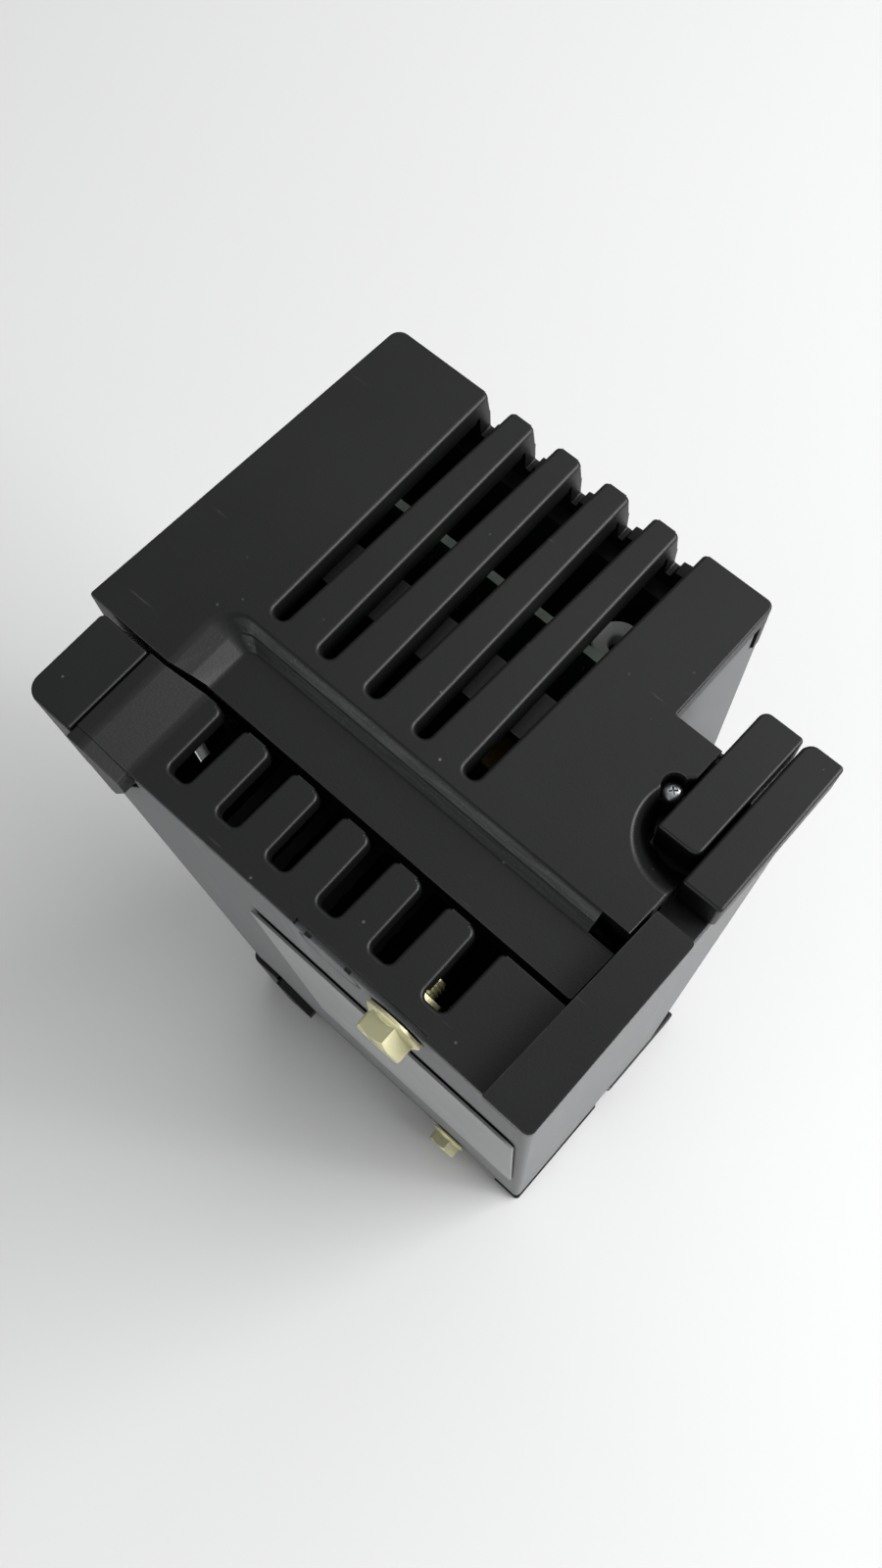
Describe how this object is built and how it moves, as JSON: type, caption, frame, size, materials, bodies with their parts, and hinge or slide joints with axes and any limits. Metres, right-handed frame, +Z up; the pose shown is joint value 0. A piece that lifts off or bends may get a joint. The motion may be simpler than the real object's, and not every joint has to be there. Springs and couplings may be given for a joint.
{
  "type": "solid state relay",
  "caption": "Tall panel solid state relay: vented black end covers, grey housing over an enclosed heat sink, corner terminal bay with hinged guard, plug-in control connector.",
  "frame": {"origin": "centre of the bounding box at the plane of the lower cover's foot, where the object stands", "axes": "+Z up along the height, -Y out of the front with the control connector, +Y out of the rear wall with the earth screws, -X towards the side with the terminal bay"},
  "size_m": [0.1045, 0.088, 0.225],
  "materials": {
    "black_moulding": "satin black moulding with a fine grain",
    "corner_moulding": "black moulding, slightly glossier",
    "chassis_sheet": "mid grey powder-coated sheet",
    "housing_grey": "light grey moulding",
    "label_film": "blank printed film",
    "yellow_zinc": "pale yellow passivated zinc",
    "screw_steel": "bright zinc plating",
    "fin_aluminium": "mill-finish extrusion",
    "thermal_pad": "silicone pad",
    "module_resin": "dark moulded resin",
    "tinned_strap": "tinned copper strap",
    "standoff_brass": "turned brass",
    "circuit_board": "green solder mask on glass fibre",
    "ferrite": "grey coated ferrite",
    "varistor_blue": "blue epoxy coat",
    "capacitor_yellow": "yellow moulded case",
    "ceramic_body": "white ceramic case",
    "coupler_body": "white moulded package",
    "electrolytic_sleeve": "black sleeve on an aluminium can",
    "connector_green": "green connector moulding",
    "dial_ivory": "ivory dial",
    "light_pipe": "clear light pipe"
  },
  "bodies": {
    "root": {"board_screw_1": "screw_steel", "board_screw_2": "screw_steel", "board_screw_3": "screw_steel", "board_screw_4": "screw_steel", "board_standoff_1": "standoff_brass", "board_standoff_2": "standoff_brass", "board_standoff_3": "standoff_brass", "board_standoff_4": "standoff_brass", "choke_ring": "ferrite", "control_board": "circuit_board", "control_header": "connector_green", "door_hinge_pin": "screw_steel", "heat_sink": "fin_aluminium", "housing_shell": "housing_grey", "line_busbar": "tinned_strap", "line_snubber_capacitor": "capacitor_yellow", "line_snubber_resistor": "ceramic_body", "line_varistor": "varistor_blue", "load_busbar": "tinned_strap", "load_light_pipe": "light_pipe", "load_snubber_capacitor": "capacitor_yellow", "load_snubber_resistor": "ceramic_body", "load_varistor": "varistor_blue", "lower_corner_block": "corner_moulding", "lower_cover": "black_moulding", "lower_earth_nut": "yellow_zinc", "lower_earth_screw": "yellow_zinc", "lower_fin_guard": "black_moulding", "lower_inner_finger": "black_moulding", "lower_optocoupler": "coupler_body", "lower_outer_finger": "black_moulding", "lower_pocket_screw": "screw_steel", "lower_thermal_pad": "thermal_pad", "lower_thyristor_module": "module_resin", "pulse_transformer": "ferrite", "rating_plate": "label_film", "rear_chassis": "chassis_sheet", "supply_capacitor": "electrolytic_sleeve", "supply_light_pipe": "light_pipe", "terminal_block": "module_resin", "trimmer_base": "varistor_blue", "upper_corner_block": "corner_moulding", "upper_cover": "black_moulding", "upper_earth_nut": "yellow_zinc", "upper_earth_screw": "yellow_zinc", "upper_fin_guard": "black_moulding", "upper_inner_finger": "black_moulding", "upper_optocoupler": "coupler_body", "upper_outer_finger": "black_moulding", "upper_pocket_screw": "screw_steel", "upper_thermal_pad": "thermal_pad", "upper_thyristor_module": "module_resin"},
    "door": {"terminal_door": "black_moulding"},
    "plug": {"control_plug": "connector_green"},
    "trimmer": {"trimmer_dial": "dial_ivory"},
    "line_clamp": {"line_clamp_screw": "yellow_zinc"},
    "load_clamp": {"load_clamp_screw": "yellow_zinc"}
  },
  "joints": [
    {"name": "door_hinge", "type": "hinge", "parent": "root", "child": "door", "pos_m": [-0.03125, -0.0414, 0.111], "axis": [0, 0, 1], "range_deg": [0, 110]},
    {"name": "plug_slide", "type": "slide", "parent": "root", "child": "plug", "axis": [0, -1, 0], "range_m": [0, 0.012]},
    {"name": "trimmer_turn", "type": "hinge", "parent": "root", "child": "trimmer", "pos_m": [0.01375, -0.035, 0.12], "axis": [0, 1, 0], "range_deg": [-135, 135]},
    {"name": "line_clamp_turn", "type": "hinge", "parent": "root", "child": "line_clamp", "pos_m": [-0.03935, -0.035, 0.134], "axis": [0, 1, 0], "continuous": true},
    {"name": "load_clamp_turn", "type": "hinge", "parent": "root", "child": "load_clamp", "pos_m": [-0.03935, -0.035, 0.086], "axis": [0, 1, 0], "continuous": true}
  ]
}
